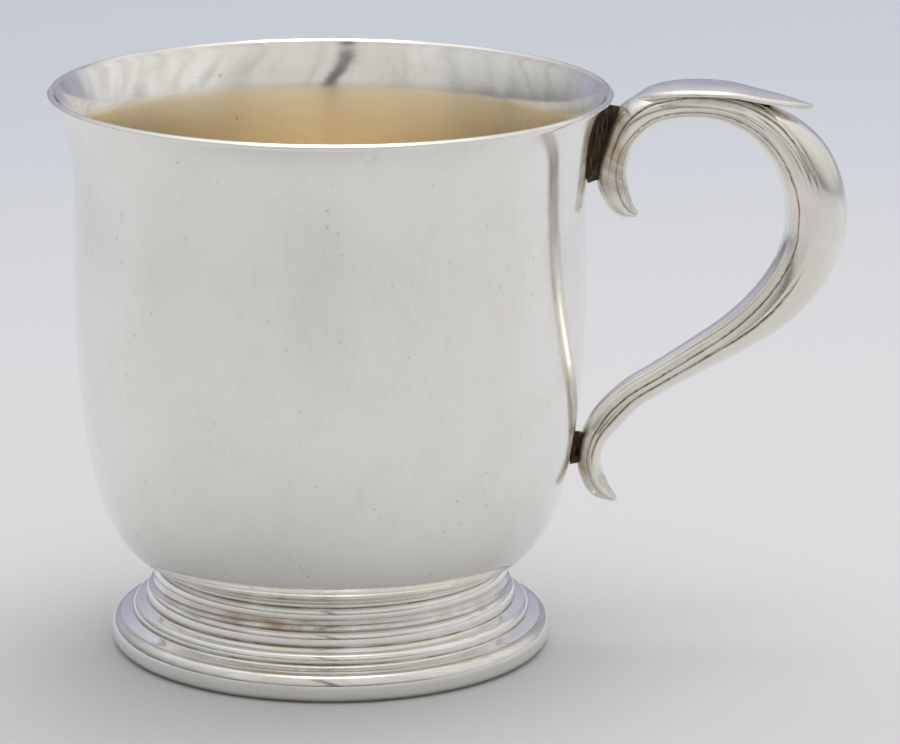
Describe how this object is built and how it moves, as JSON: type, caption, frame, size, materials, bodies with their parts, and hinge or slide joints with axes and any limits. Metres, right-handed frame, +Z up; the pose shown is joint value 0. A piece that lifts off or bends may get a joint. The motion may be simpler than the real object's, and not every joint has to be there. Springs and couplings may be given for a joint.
{
  "type": "baby cup",
  "caption": "Round-bottomed silver baby cup with a flared lip, a stepped hollow foot and a leaf-capped double-scroll handle.",
  "frame": {"origin": "middle of the overall box's footprint, at the height of the flat land under the foot; the cup's own axis is 15.8 mm from it toward -X", "axes": "+Z up along the cup's axis, +X toward the handle, so X is the longest extent"},
  "size_m": [0.1066, 0.075, 0.0771],
  "materials": {
    "bowl_silver": "polished silver with fine wear scratches, gilt wash inside below the lip",
    "foot_silver": "polished silver with brown tarnish in the grooves",
    "handle_silver": "cast silver, hand polished, slightly duller than the bowl",
    "seat_solder": "silver solder, blackened by tarnish"
  },
  "bodies": {
    "root": {"bowl": "bowl_silver", "rim_wire": "bowl_silver", "foot_collar": "foot_silver", "foot_shell": "foot_silver", "foot_wire": "foot_silver", "handle": "handle_silver", "thumb_leaf": "handle_silver", "upper_seat": "seat_solder", "lower_seat": "seat_solder"}
  },
  "joints": []
}
